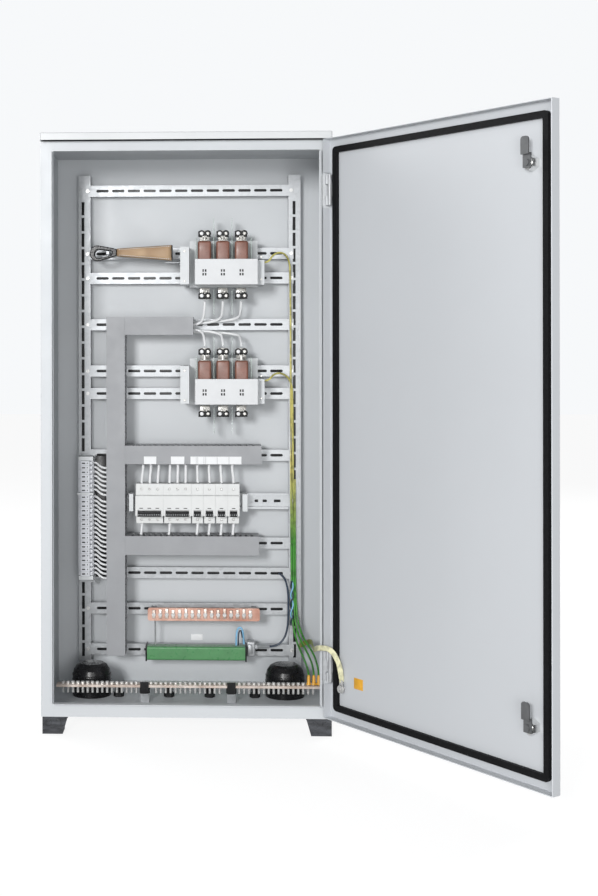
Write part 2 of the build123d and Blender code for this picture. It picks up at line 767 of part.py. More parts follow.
with BuildPart() as wires_dark:
    cable([(-76, 86, 190.9), (-76, 92, 175), (-76, 96, 150), (-76, 96, 133 + gap)], 1.6)
    cable(
        [
            (178.1, 100, 130),
            (190, 100, 130),
            (207, 101, 141),
            (218, 104, 165),
            (220.5, 106, 205),
            (220, 107, 250),
            (214, 107, 278),
            (203, 108, 289.5),
            (200, 113, 289.5),
            (200, 118.3, 289.5),
        ],
        2.2,
    )
wires_dark.part.label = "wires_dark"
export_step(wires_dark.part, "parts/wires_dark.step")

# ---------------------------------------------------------------- hinges

ear_reach = 31.0
middle_half = 12.0
with BuildPart() as hinge_bodies:
    for z in hinge_heights:
        slab((277.5, hinge_x - 0.7), (front - 2, front), (z - ear_reach, z + ear_reach))
        for low, high in ((z - ear_reach, z - middle_half - gap), (z + middle_half + gap, z + ear_reach)):
            slab((hinge_x - 7.5, hinge_x - 0.7), (hinge_y, front - 2), (low, high))
            with Locations((hinge_x, hinge_y, (low + high) / 2)):
                Cylinder(knuckle_radius, high - low)
        with Locations((hinge_x, hinge_y, z)):
            Cylinder(pin_radius + 0.05, 80, mode=Mode.SUBTRACT)
            Cylinder(knuckle_radius + 0.4, 2 * middle_half + 0.2, mode=Mode.SUBTRACT)
hinge_bodies.part.label = "hinge_bodies"
export_step(hinge_bodies.part, "parts/hinge_bodies.step")

with BuildPart() as hinge_pins:
    with Locations(*[(hinge_x, hinge_y, z) for z in hinge_heights]):
        Cylinder(pin_radius, 2 * ear_reach + 2)
hinge_pins.part.label = "hinge_pins"
export_step(hinge_pins.part, "parts/hinge_pins.step")

skin_inner = door_outer + sheet
with BuildPart(door_plane) as hinge_leaves:
    for z in hinge_heights:
        middle = (z - middle_half, z + middle_half)
        with Locations((0, 0, z)):
            Cylinder(knuckle_radius, 2 * middle_half)
        slab((-4.2, 0), (skin_inner + gap, 0), middle)
        slab((-8.6, 4.3), (skin_inner + gap, skin_inner + 2.5), middle)
        with Locations((0, 0, z)):
            Cylinder(pin_radius + 0.05, 80, mode=Mode.SUBTRACT)
hinge_leaves.part.label = "hinge_leaves"
export_step(hinge_leaves.part, "parts/hinge_leaves.step")

# ---------------------------------------------------------------- door

free_x = -door_half_width - hinge_x
near_x = door_half_width - hinge_x
with BuildPart(door_plane) as door_panel:
    slab((free_x, near_x), (door_outer, door_inner), (door_low, door_high))
    fillet(door_panel.edges().filter_by(Axis.Z), radius=1.4)
    slab(
        (free_x + sheet, near_x - sheet),
        (skin_inner, door_inner),
        (door_low + sheet, door_high - sheet),
        Mode.SUBTRACT,
    )
    for z in hinge_heights:
        slab((near_x - 3, near_x + 1), (skin_inner + gap, door_inner + 1), (z - 36, z + 36), Mode.SUBTRACT)
    with Locations(*[(lock_x, door_outer, z) for z in lock_heights]):
        Cylinder(9.1, 8, rotation=(90, 0, 0), mode=Mode.SUBTRACT)
door_panel.part.label = "door_panel"
export_step(door_panel.part, "parts/door_panel.step")

with BuildPart(door_plane) as door_gasket:
    outer = gasket_offset + gasket_width / 2
    inner = gasket_offset - gasket_width / 2
    edge = door_half_width - outer
    level = (skin_inner + gap, skin_inner + gasket_height)
    slab((-hinge_x - outer, -hinge_x + outer), level, (door_low + edge, door_high - edge))
    fillet(door_gasket.edges().filter_by(Axis((0, 0, 0), door_plane.y_dir)), radius=9)
    slab(
        (-hinge_x - inner, -hinge_x + inner),
        (level[0] - 1, level[1] + 1),
        (door_low + edge + gasket_width, door_high - edge - gasket_width),
        Mode.SUBTRACT,
    )
door_gasket.part.label = "door_gasket"
export_step(door_gasket.part, "parts/door_gasket.step")

# Cam lock: flange outside, large hexagonal nut inside, and a bore that carries the turning cam
barrel_end = 9.0
with BuildPart(door_plane) as lock_housings:
    for z in lock_heights:
        barrel_start = door_outer - 2 - gap
        with Locations((lock_x, (barrel_start + barrel_end) / 2, z)):
            Cylinder(9, barrel_end - barrel_start, rotation=(90, 0, 0))
        with Locations((lock_x, barrel_start + 1, z)):
            Cylinder(13, 2, rotation=(90, 0, 0))
        with BuildSketch(
            Plane(
                origin=door_plane.from_local_coords(Vector(lock_x, skin_inner + gap, z)),
                x_dir=(0, 0, 1),
                z_dir=door_plane.y_dir,
            ),
            mode=Mode.PRIVATE,
        ) as nut:
            RegularPolygon(13.5, 6)
        extrude(nut.sketch, amount=barrel_end - 1 - skin_inner)
        with Locations((lock_x, 0, z)):
            Cylinder(3.05, 60, rotation=(90, 0, 0), mode=Mode.SUBTRACT)
lock_housings.part.label = "lock_housings"
export_step(lock_housings.part, "parts/lock_housings.step")

# Spindle with a key end, and a cranked cam that points up while the door is unlocked
hub_level = (9.2, 11.7)
tongue_level = (14.9, 17.4)
door_normal = Axis((0, 0, 0), door_plane.y_dir)
for name, z in zip(cam_names, lock_heights):
    with BuildPart(door_plane) as cam:
        slab((lock_x - 9, lock_x + 9), tongue_level, (z + 14, z + 45))
        fillet(cam.edges().filter_by(door_normal).group_by(Axis.Z)[-1], radius=6)
        slab((lock_x - 9, lock_x + 9), hub_level, (z - 9, z + 14))
        slab((lock_x - 9, lock_x + 9), (hub_level[0], tongue_level[1]), (z + 14, z + 16.5))
        with Locations((lock_x, (tongue_level[0] - 8) / 2, z)):
            Cylinder(3, tongue_level[0] + 8, rotation=(90, 0, 0))
        with Locations((lock_x, hub_level[1] + 1.5, z)):
            Cylinder(6, 3, rotation=(90, 0, 0))
    cam.part.label = name
    export_step(cam.part, f"parts/{name}.step")

# ---------------------------------------------------------------- door earth

strap_stud_x, strap_stud_z = -33.0, 108.0
stud_end = skin_inner + 12
with BuildPart(door_plane) as earth_studs:
    with Locations((strap_stud_x, (skin_inner + gap + stud_end) / 2, strap_stud_z)):
        Cylinder(4, stud_end - skin_inner - gap, rotation=(90, 0, 0))
    with Locations((strap_stud_x, skin_inner + 9, strap_stud_z)):
        Cylinder(7.5, 4, rotation=(90, 0, 0))
earth_studs.part.label = "earth_studs"
export_step(earth_studs.part, "parts/earth_studs.step")

strap_on_door = [
    tuple(door_plane.from_local_coords(Vector(*spot)))
    for spot in (
        (-23, 5.5, strap_stud_z + 66),
        (strap_stud_x, 0.5, strap_stud_z + 42),
        (strap_stud_x, -2.5, strap_stud_z + 8.5),
    )
]
with BuildPart() as earth_strap:
    cable(
        [
            (245, 120 - gap, 130),
            (245, 108, 130),
            (262, 96, 142),
            (268, 40, 154),
            (266, -30, 158),
            (265, -100, 166),
            (264, -150, 180),
            (270, -178, 188),
            (290, -184, 188),
            *strap_on_door,
        ],
        3.5,
    )
earth_strap.part.label = "earth_strap"
export_step(earth_strap.part, "parts/earth_strap.step")
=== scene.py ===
import json
from math import cos, pi, radians, sin

import bmesh
import bpy
from mathutils import Matrix, Vector


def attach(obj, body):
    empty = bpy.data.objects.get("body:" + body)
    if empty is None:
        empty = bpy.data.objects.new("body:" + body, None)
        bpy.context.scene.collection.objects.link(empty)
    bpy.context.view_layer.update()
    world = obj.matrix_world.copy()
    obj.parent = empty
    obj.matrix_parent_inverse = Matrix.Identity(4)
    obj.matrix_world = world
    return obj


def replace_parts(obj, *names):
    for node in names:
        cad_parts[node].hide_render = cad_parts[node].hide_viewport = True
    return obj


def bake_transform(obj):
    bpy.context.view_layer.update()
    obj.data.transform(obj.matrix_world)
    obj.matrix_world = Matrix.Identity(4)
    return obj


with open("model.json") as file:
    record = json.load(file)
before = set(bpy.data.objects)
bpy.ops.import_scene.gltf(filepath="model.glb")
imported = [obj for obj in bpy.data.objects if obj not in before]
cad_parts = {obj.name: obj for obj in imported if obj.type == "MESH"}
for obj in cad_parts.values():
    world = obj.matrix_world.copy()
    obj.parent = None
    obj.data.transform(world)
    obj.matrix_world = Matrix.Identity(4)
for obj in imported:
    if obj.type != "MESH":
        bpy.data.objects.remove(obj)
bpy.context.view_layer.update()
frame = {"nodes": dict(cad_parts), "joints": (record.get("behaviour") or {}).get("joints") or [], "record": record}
nodes = frame["nodes"]
joints = {joint["name"]: joint for joint in frame["joints"]}
scene = bpy.context.scene

# ---------------------------------------------------------------- places read from the frame

hinge = Vector(joints["door_hinge"]["pos_m"])
door_angle = -radians(joints["door_hinge"]["range_deg"][0])
# Door coordinates are those of the shut door: x to the right, y into the cabinet, from the hinge axis
door_matrix = Matrix.Translation((hinge.x, hinge.y, 0)) @ Matrix.Rotation(door_angle, 4, "Z")

# ---------------------------------------------------------------- materials


def new_material(name):
    """A node material, with its tree, its Principled shader and object coordinates."""
    material = bpy.data.materials.new(name)
    material.use_nodes = True
    tree = material.node_tree
    shader = tree.nodes["Principled BSDF"]
    place = tree.nodes.new("ShaderNodeTexCoord").outputs["Object"]
    return material, tree, shader, place


def noise(tree, place, scale, detail=4.0, stretch=(1, 1, 1)):
    """Noise of about that many features a metre, stretched along an axis if asked."""
    mapping = tree.nodes.new("ShaderNodeMapping")
    mapping.inputs["Scale"].default_value = stretch
    tree.links.new(place, mapping.inputs["Vector"])
    texture = tree.nodes.new("ShaderNodeTexNoise")
    texture.inputs["Scale"].default_value = scale
    texture.inputs["Detail"].default_value = detail
    tree.links.new(mapping.outputs["Vector"], texture.inputs["Vector"])
    return texture.outputs["Fac"]


def ramp(tree, value, low, high, start=0.3, end=0.7):
    """A value spread between two colours or two grey levels."""
    node = tree.nodes.new("ShaderNodeValToRGB")
    for element, place, colour in zip(node.color_ramp.elements, (start, end), (low, high)):
        element.position = place
        element.color = (*colour, 1) if isinstance(colour, tuple) else (colour,) * 3 + (1,)
    tree.links.new(value, node.inputs["Fac"])
    return node.outputs["Color"]


def mix(tree, factor, first, second, mode="MIX"):
    """Colour mix; each input is a socket or a constant."""
    node = tree.nodes.new("ShaderNodeMix")
    node.data_type = "RGBA"
    node.blend_type = mode
    for name, value in (("Factor", factor), ("A", first), ("B", second)):
        socket = node.inputs[name]
        if isinstance(value, bpy.types.NodeSocket):
            tree.links.new(value, socket)
        else:
            socket.default_value = (*value, 1) if isinstance(value, tuple) else value
    return node.outputs["Result"]


def bump(tree, shader, height, distance, strength=1.0):
    """Surface relief of that height in metres."""
    node = tree.nodes.new("ShaderNodeBump")
    node.inputs["Distance"].default_value = distance
    node.inputs["Strength"].default_value = strength
    tree.links.new(height, node.inputs["Height"])
    tree.links.new(node.outputs["Normal"], shader.inputs["Normal"])


def shade(colour, factor):
    """The colour made darker or lighter, and no brighter than white."""
    return tuple(min(1.0, channel * factor) for channel in colour)


def finish(
    name,
    colour,
    roughness=0.5,
    metallic=0.0,
    mottle=0.06,
    mottle_scale=9.0,
    stretch=(1, 1, 1),
    grain_scale=900.0,
    grain=0.00004,
    edge_highlight=0.0,
    specular=0.5,
):
    """Base finish: cloudy colour, uneven gloss, fine relief, and a painted highlight that lightens edges in
    patches.
    """
    material, tree, shader, place = new_material(name)
    clouds = noise(tree, place, mottle_scale, 5.0, stretch)
    tint = ramp(tree, clouds, shade(colour, 1 - mottle), shade(colour, 1 + mottle))
    if edge_highlight:
        # Painted highlight: edges, found from the bevel normal, are lightened in noise patches
        bevel = tree.nodes.new("ShaderNodeBevel")
        bevel.samples = 4
        bevel.inputs["Radius"].default_value = 0.0012
        normal = tree.nodes.new("ShaderNodeNewGeometry").outputs["Normal"]
        facing = tree.nodes.new("ShaderNodeVectorMath")
        facing.operation = "DOT_PRODUCT"
        tree.links.new(bevel.outputs["Normal"], facing.inputs[0])
        tree.links.new(normal, facing.inputs[1])
        edge = ramp(tree, facing.outputs["Value"], 1.0, 0.0, 0.78, 0.97)
        highlight_mask = mix(tree, 1.0, edge, ramp(tree, noise(tree, place, 140), 0.0, edge_highlight), "MULTIPLY")
        tint = mix(tree, highlight_mask, tint, shade(colour, 1.5))
    tree.links.new(tint, shader.inputs["Base Color"])
    spread = noise(tree, place, mottle_scale * 3, 3.0, stretch)
    gloss = ramp(tree, spread, roughness * 0.85, min(1, roughness * 1.15))
    tree.links.new(gloss, shader.inputs["Roughness"])
    shader.inputs["Metallic"].default_value = metallic
    shader.inputs["Specular IOR Level"].default_value = specular
    bump(tree, shader, noise(tree, place, grain_scale, 2.0, stretch), grain)
    return material


def zinc_finish(name, colour, roughness=0.38):
    """Zinc plate: crystals of slightly different brightness, with drawn streaks."""
    material, tree, shader, place = new_material(name)
    crystals = tree.nodes.new("ShaderNodeTexVoronoi")
    crystals.inputs["Scale"].default_value = 130
    tree.links.new(place, crystals.inputs["Vector"])
    spangle = ramp(tree, crystals.outputs["Color"], shade(colour, 0.9), shade(colour, 1.08), 0.1, 0.9)
    streaks = ramp(tree, noise(tree, place, 60, 3.0, (0.15, 1, 1)), 0.9, 1.0)
    tree.links.new(mix(tree, 1.0, spangle, streaks, "MULTIPLY"), shader.inputs["Base Color"])
    shader.inputs["Metallic"].default_value = 0.35
    gloss = ramp(tree, crystals.outputs["Color"], roughness * 0.85, roughness * 1.2, 0.1, 0.9)
    tree.links.new(gloss, shader.inputs["Roughness"])
    bump(tree, shader, noise(tree, place, 700, 2.0), 0.00003)
    return material


def ceramic_finish():
    """Brown ceramic of the fuse links: darker specks and a thin uneven glaze."""
    material, tree, shader, place = new_material("ceramic_brown")
    body = ramp(tree, noise(tree, place, 30, 5.0), (0.17, 0.07, 0.048), (0.28, 0.125, 0.09))
    specks = ramp(tree, noise(tree, place, 520, 1.0), 1.0, 0.72, 0.6, 0.72)
    tree.links.new(mix(tree, 1.0, body, specks, "MULTIPLY"), shader.inputs["Base Color"])
    tree.links.new(ramp(tree, noise(tree, place, 45), 0.28, 0.5), shader.inputs["Roughness"])
    bump(tree, shader, noise(tree, place, 260, 3.0), 0.0001)
    return material


def leather_finish():
    """Tan leather: pebbled grain, darker in the creases, scuffed paler in patches."""
    material, tree, shader, place = new_material("leather_tan")
    cells = tree.nodes.new("ShaderNodeTexVoronoi")
    cells.feature = "DISTANCE_TO_EDGE"
    cells.inputs["Scale"].default_value = 620
    tree.links.new(place, cells.inputs["Vector"])
    patches = ramp(tree, noise(tree, place, 26, 5.0), (0.36, 0.225, 0.125), (0.60, 0.42, 0.26))
    creases = ramp(tree, cells.outputs["Distance"], 0.62, 1.0, 0.0, 0.22)
    tree.links.new(mix(tree, 0.8, patches, creases, "MULTIPLY"), shader.inputs["Base Color"])
    tree.links.new(ramp(tree, noise(tree, place, 60), 0.5, 0.78), shader.inputs["Roughness"])
    bump(tree, shader, cells.outputs["Distance"], 0.0003, 0.8)
    return material


def copper_finish(name, dark, light, stretch):
    """Bare bar stock: drawn streaks and tarnish clouds."""
    material, tree, shader, place = new_material(name)
    clouds = ramp(tree, noise(tree, place, 24, 6.0), dark, light, 0.35, 0.68)
    streaks = ramp(tree, noise(tree, place, 90, 3.0, stretch), 0.86, 1.0)
    tree.links.new(mix(tree, 1.0, clouds, streaks, "MULTIPLY"), shader.inputs["Base Color"])
    shader.inputs["Metallic"].default_value = 0.45
    tree.links.new(ramp(tree, noise(tree, place, 40), 0.26, 0.5), shader.inputs["Roughness"])
    bump(tree, shader, noise(tree, place, 300, 2.0, stretch), 0.00005)
    return material


def clear_finish():
    """Clear sheet with a green cast, a few hazy scuffs and a glossy face."""
    material, tree, shader, place = new_material("clear_sheet")
    shader.inputs["Base Color"].default_value = (0.55, 0.68, 0.62, 1)
    shader.inputs["Alpha"].default_value = 0.3
    tree.links.new(ramp(tree, noise(tree, place, 90), 0.08, 0.3), shader.inputs["Roughness"])
    return material


def graded_finish(name, axis, low, high, start, end):
    """Insulation whose colour changes along an axis between two places, in metres, with darker bands."""
    material, tree, shader, place = new_material(name)
    parts = tree.nodes.new("ShaderNodeSeparateXYZ")
    tree.links.new(place, parts.inputs["Vector"])
    spread = tree.nodes.new("ShaderNodeMapRange")
    spread.inputs["From Min"].default_value = start
    spread.inputs["From Max"].default_value = end
    tree.links.new(parts.outputs[axis], spread.inputs["Value"])
    tint = ramp(tree, spread.outputs["Result"], low, high, 0.0, 1.0)
    bands = ramp(tree, noise(tree, place, 70, 2.0), 0.6, 1.0, 0.38, 0.55)
    tree.links.new(mix(tree, 1.0, tint, bands, "MULTIPLY"), shader.inputs["Base Color"])
    shader.inputs["Roughness"].default_value = 0.36
    bump(tree, shader, noise(tree, place, 400), 0.00003)
    return material


powder_coat = {"mottle": 0.025, "mottle_scale": 3, "edge_highlight": 0.4}
# Strap colours: the cream end, outside the cabinet, is painted light
olive, cream = (0.36, 0.40, 0.09), (0.74, 0.72, 0.47)
materials = {
    "cabinet_paint": finish("cabinet_powder_coat", (0.57, 0.592, 0.612), 0.46, **powder_coat),
    "roof_paint": finish("roof_powder_coat", (0.60, 0.615, 0.625), 0.46, **powder_coat),
    "door_paint": finish(
        "door_powder_coat", (0.555, 0.575, 0.60), 0.42, mottle=0.02, mottle_scale=2.5, edge_highlight=0.4
    ),
    "foot_paint": finish(
        "foot_dark_paint",
        (0.05, 0.053, 0.06),
        0.3,
        mottle=0.6,
        mottle_scale=30,
        stretch=(1, 1, 4),
        edge_highlight=0.9,
    ),
    "zinc": zinc_finish("zinc_plate", (0.43, 0.445, 0.46)),
    "zinc_screw": zinc_finish("zinc_screws", (0.62, 0.62, 0.61), 0.28),
    "duct_pvc": finish("duct_pvc", (0.315, 0.322, 0.337), 0.5, mottle=0.04, mottle_scale=14),
    "label_white": finish("label_card", (0.82, 0.83, 0.84), 0.6, mottle=0.03, mottle_scale=60),
    "fuse_moulding": finish("fuse_moulding", (0.60, 0.62, 0.635), 0.42, mottle=0.03, mottle_scale=40),
    "contact": zinc_finish("silvered_contact", (0.60, 0.59, 0.56), 0.3),
    "fuse_lid": finish("fuse_lid_moulding", (0.62, 0.632, 0.645), 0.38, mottle=0.025, mottle_scale=40),
    "fuse_ceramic": ceramic_finish(),
    "barrier_clear": clear_finish(),
    "black_rubber": finish(
        "black_rubber",
        (0.008, 0.008, 0.009),
        0.26,
        mottle=0.3,
        mottle_scale=70,
        grain=0.00012,
        specular=0.3,
    ),
    "black_plastic": finish(
        "black_moulding", (0.009, 0.009, 0.01), 0.34, mottle=0.2, mottle_scale=60, specular=0.3
    ),
    "sleeve_leather": leather_finish(),
    "terminal_plastic": finish("terminal_moulding", (0.70, 0.715, 0.75), 0.5, mottle=0.06, mottle_scale=80),
    "clamp_plastic": finish("clamp_moulding", (0.66, 0.68, 0.69), 0.5, mottle=0.05, mottle_scale=60),
    "breaker_plastic": finish("breaker_moulding", (0.68, 0.69, 0.685), 0.36, mottle=0.02, mottle_scale=50),
    "copper": copper_finish("bare_copper", (0.44, 0.215, 0.155), (0.68, 0.43, 0.345), (0.2, 1, 1)),
    "cover_green": finish("green_moulding", (0.085, 0.27, 0.105), 0.3, mottle=0.1, mottle_scale=40),
    "earth_bar_metal": copper_finish("tinned_copper", (0.56, 0.44, 0.37), (0.80, 0.72, 0.66), (0.2, 1, 1)),
    "wire_white": finish("white_insulation", (0.80, 0.81, 0.82), 0.34, mottle=0.04, mottle_scale=80),
    "wire_earth": graded_finish("earth_insulation", "Z", (0.06, 0.30, 0.035), (0.62, 0.56, 0.16), 0.36, 0.52),
    "wire_blue": finish("blue_insulation", (0.25, 0.52, 0.76), 0.34, mottle=0.08, mottle_scale=80),
    "wire_dark": finish("dark_insulation", (0.014, 0.03, 0.06), 0.34, mottle=0.2, mottle_scale=80),
    "hinge_metal": zinc_finish("hinge_casting", (0.48, 0.495, 0.51), 0.5),
    "gasket_foam": finish(
        "gasket_foam",
        (0.008, 0.008, 0.009),
        0.6,
        mottle=0.3,
        mottle_scale=200,
        grain=0.0003,
        specular=0.12,
    ),
    "lock_chrome": finish(
        "chromed_casting", (0.78, 0.78, 0.77), 0.16, metallic=1.0, mottle=0.06, mottle_scale=60
    ),
    "cam_metal": zinc_finish("cam_steel", (0.15, 0.155, 0.16), 0.4),
    # The strap pales from olive inside the cabinet to cream outside it: painted shade inside, painted light
    # outside
    "strap": graded_finish("strap_braid", "Y", cream, olive, -0.175, -0.06),
    "orange_plastic": finish("orange_moulding", (0.78, 0.40, 0.035), 0.4, mottle=0.15, mottle_scale=60),
}
slots = {entry["node"]: entry["material_slot"] for entry in frame["record"]["subparts"]}

# Widths of the rounded edges, by node, in metres; the others stay sharp
rounded_edges = {
    "corner_feet": 0.0008,
    "duct_covers": 0.0006,
    "fuse_bases": 0.002,
    "fuse_lid_upper": 0.0012,
    "fuse_lid_lower": 0.0012,
    "terminal_blocks": 0.0007,
    "end_clamps": 0.001,
    "breakers_triple": 0.0014,
    "breakers_single": 0.0014,
    "earth_bar": 0.0006,
    "neutral_bar": 0.0006,
    "lock_cam_top": 0.0006,
    "lock_cam_bottom": 0.0006,
    "lock_housings": 0.0006,
    "hinge_bodies": 0.0005,
    "hinge_leaves": 0.0004,
    "puller_handle": 0.0006,
    "bar_screws": 0.0004,
    "foot_bolts": 0.0005,
}

for name, node in nodes.items():
    node.data.materials.clear()
    node.data.materials.append(materials[slots[name]])
    if name in rounded_edges:
        modifier = node.modifiers.new("rounded edges", "BEVEL")
        modifier.width = rounded_edges[name]
        modifier.segments = 2
        modifier.limit_method = "ANGLE"
        modifier.angle_limit = radians(40)

# ---------------------------------------------------------------- mesh helpers

# The helpers take millimetres, like the CAD; meshes and curves are scaled to metres as they are made
to_metres = Matrix.Scale(0.001, 4)


def piece(name, mesh, slot, body="cabinet", place=None, look=None, smooth=35):
    """A finished bmesh becomes a piece with the slot's material, riding on a body."""
    bmesh.ops.transform(mesh, matrix=(place or Matrix.Identity(4)) @ to_metres, verts=mesh.verts)
    bmesh.ops.recalc_face_normals(mesh, faces=mesh.faces)
    data = bpy.data.meshes.new(name)
    mesh.to_mesh(data)
    mesh.free()
    obj = bpy.data.objects.new(name, data)
    scene.collection.objects.link(obj)
    data.materials.append(materials[look or slot])
    data.shade_smooth()
    data.set_sharp_from_angle(angle=radians(smooth))
    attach(obj, body)
    return obj


def block(mesh, x, y, z, round_by=0.0, segments=2):
    """Adds a box between (low, high) pairs to mesh, with its edges rounded."""
    low, high = (Vector(corner) for corner in zip(x, y, z))
    size = Matrix.Diagonal((*(high - low), 1))
    made = bmesh.ops.create_cube(mesh, size=1, matrix=Matrix.Translation((low + high) / 2) @ size)
    if round_by:
        edges = list({edge for vert in made["verts"] for edge in vert.link_edges})
        bmesh.ops.bevel(mesh, geom=edges, offset=round_by, segments=segments, affect="EDGES", profile=0.5)


def turned(mesh, centre, profile, axis="Z", sides=24):
    """Adds a turned shape: profile is (radius, distance along the axis) from centre."""
    turns = {"X": Matrix.Rotation(pi / 2, 4, "Y"), "Y": Matrix.Rotation(-pi / 2, 4, "X")}
    place = Matrix.Translation(centre) @ turns.get(axis, Matrix.Identity(4))
    rings = []
    for radius, along in profile:
        if radius < 1e-6:
            rings.append([mesh.verts.new(place @ Vector((0, 0, along)))] * sides)
            continue
        angles = [2 * pi * i / sides for i in range(sides)]
        spots = [Vector((radius * cos(a), radius * sin(a), along)) for a in angles]
        rings.append([mesh.verts.new(place @ spot) for spot in spots])
    if profile[0] == profile[-1]:
        for vert in rings[-1]:
            mesh.verts.remove(vert)
        rings[-1] = rings[0]
    for lower, upper in zip(rings, rings[1:]):
        for i in range(sides):
            corners = (lower[i], lower[(i + 1) % sides], upper[(i + 1) % sides], upper[i])
            unique = list(dict.fromkeys(corners))
            if len(unique) > 2:
                mesh.faces.new(unique)


def ring(mesh, centre, radius, tube, axis="Y"):
    """Adds a round ring of round wire."""
    angles = [2 * pi * i / 10 for i in range(10)] + [0]
    turned(mesh, centre, [(radius + tube * cos(a), tube * sin(a)) for a in angles], axis)


def screw_head(mesh, centre, radius, height=1.6):
    """Adds a domed screw head with a recess, facing the front."""
    dome = [(0, 0), (radius, 0), (radius, -0.6 * height), (0.8 * radius, -height)]
    recess = [(0.35 * radius, -height), (0.3 * radius, -0.4 * height), (0, -0.4 * height)]
    turned(mesh, centre, dome + recess, "Y", 16)


def wires(name, routes, radius, slot, body="cabinet", node=None, flat=0.0):
    """Cables, one smooth NURBS line through each route's control points; flat makes a band that wide."""
    curve = bpy.data.curves.new(name, "CURVE")
    curve.dimensions = "3D"
    curve.bevel_depth = radius / 1000
    curve.bevel_resolution = 3
    curve.extrude = flat / 2000
    curve.twist_mode = "Z_UP"
    curve.resolution_u = 8
    curve.use_fill_caps = True
    for route in routes:
        spline = curve.splines.new("NURBS")
        spline.points.add(len(route) - 1)
        for point, spot in zip(spline.points, route):
            point.co = (*(Vector(spot) / 1000), 1)
        spline.order_u = 3
        spline.use_endpoint_u = True
    drawn = bpy.data.objects.new(name + "_line", curve)
    data = bpy.data.meshes.new_from_object(drawn)
    data.name = name
    bpy.data.objects.remove(drawn)
    obj = bpy.data.objects.new(name, data)
    scene.collection.objects.link(obj)
    data.materials.clear()
    data.materials.append(materials[slot])
    data.shade_smooth()
    if body:
        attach(obj, body)
    if node:
        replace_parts(obj, node)
    return obj


# ---------------------------------------------------------------- fuse switches

# Places of the three poles, and the height that each switch's parts are measured from
pole_xs = (35.6, 75.5, 115.9)
unit_heights = {"lower": 718, "upper": 978}
cable_end = [(0, 0), (4.3, 0), (4.3, -8), (3.6, -9.5), (0, -10)]
jaws, clamps_and_shade, clamp_screws, cable_ends, base_screws = (bmesh.new() for _ in range(5))
for unit, zc in unit_heights.items():
    ceramics, blades = bmesh.new(), bmesh.new()
    for x in pole_xs:
        block(ceramics, (x - 14.5, x + 14.5), (22, 67), (zc - 5, zc + 49), 4.5, 4)
        block(blades, (x - 2.5, x + 2.5), (36, 58), (zc - 17, zc + 61), 0.8)
        for z in (zc - 6.5, zc + 49):
            block(blades, (x - 11, x + 11), (26, 63), (z, z + 1.5), 0.6)
        block(blades, (x - 6, x + 6), (17, 28), (zc + 49.2, zc + 51), 0.7)
        for side, level in ((1, zc + 68), (-1, zc - 69)):
            near, far = sorted((level - side * 11, level - side * 6))
            block(jaws, (x - 11, x + 11), (79, 82.9), sorted((zc + side * 51, level + side * 8)), 0.8)
            for jaw_x in (x - 3.7, x + 3.7):
                block(jaws, (jaw_x - 1, jaw_x + 1), (40, 79), (near, far), 0.5)
            for offset in (-6.8, 6.8):
                ring(clamps_and_shade, (x + offset, 63, level), 5.7, 1.7)
                block(clamps_and_shade, (x + offset - 6.5, x + offset + 6.5), (66, 78.8), (level - 7, level - 5), 0.6)
            screw_head(clamp_screws, (x + 6.8, 66, level), 3.4, 2)
            for tooth_x in (x - 13.4, x + 0.2, x + 11.6):
                block(clamps_and_shade, (tooth_x - 0.9, tooth_x + 0.9), (61, 66), (level - 7, level + 5), 0.6)
            turned(cable_ends, (x - 6.8, 70, level), cable_end, "Y")
    for z in (zc + 27, zc - 38):
        screw_head(base_screws, (-8, 29.9, z), 2.6)
        screw_head(base_screws, (159, 39.9, z - 12 if z > zc else z + 4), 2.4)
    # Painted shade: black blocks behind the lid's probe slots stand for the shade inside them
    probe_slot_shade = bmesh.new()
    for x in pole_xs:
        block(probe_slot_shade, (x - 7, x + 7), (12.6, 14), (zc - 29, zc - 11), 0.4)
    piece("probe_slot_shade_" + unit, probe_slot_shade, "fuse_lid", "fuse_carrier_" + unit, look="black_plastic")
    ceramic = piece("fuse_ceramics_" + unit, ceramics, "fuse_ceramic", "fuse_carrier_" + unit, smooth=60)
    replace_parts(ceramic, "fuse_links_" + unit)
    piece("fuse_blades_" + unit, blades, "fuse_ceramic", "fuse_carrier_" + unit, look="contact")
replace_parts(piece("contact_jaws", jaws, "contact"), "fuse_contacts")
# The cable clamps are black: part of that black is painted shade around the clamps
piece("cable_clamps_and_shade", clamps_and_shade, "black_plastic")
piece("clamp_screws", clamp_screws, "contact")
piece("cable_ends", cable_ends, "wire_white")
piece("base_screws", base_screws, "contact")

# ---------------------------------------------------------------- breakers and terminals

pole_pitch = 17.8
triple_xs, single_xs = (-87, -25.3), (18.8, 45.3, 71.8, 98.3)
columns = [x + pole_pitch * i for x in triple_xs for i in (-1, 0, 1)] + list(single_xs)
heads, dashes = bmesh.new(), bmesh.new()
for x in columns:
    screw_head(heads, (x, 78.5, 482), 2.8, 2)
    screw_head(heads, (x, 78.5, 415), 2.8, 2)
    block(dashes, (x - 4, x + 4), (55.5, 56.6), (440.6, 442.2), 0.3)
piece("terminal_screws", heads, "zinc_screw")
piece("rating_marks", dashes, "black_plastic")
toggles = [(x, 24) for x in triple_xs] + [(x, 6) for x in single_xs]
for number, (x, half) in enumerate(toggles, start=1):
    grips = bmesh.new()
    droop = Matrix.Translation((0, 61, 430.5)) @ Matrix.Rotation(radians(25), 4, "X")
    for i in range(int(2 * half / 4) + 1):
        grip_x = x - half + 4 * i
        block(grips, (grip_x - 0.7, grip_x + 0.7), (-12.6, -8), (1.5, 2.1), 0.2)
    bmesh.ops.transform(grips, matrix=droop, verts=grips.verts)
    piece(f"toggle_grips_{number}", grips, "black_plastic", f"toggle_{number}", look="clamp_plastic")

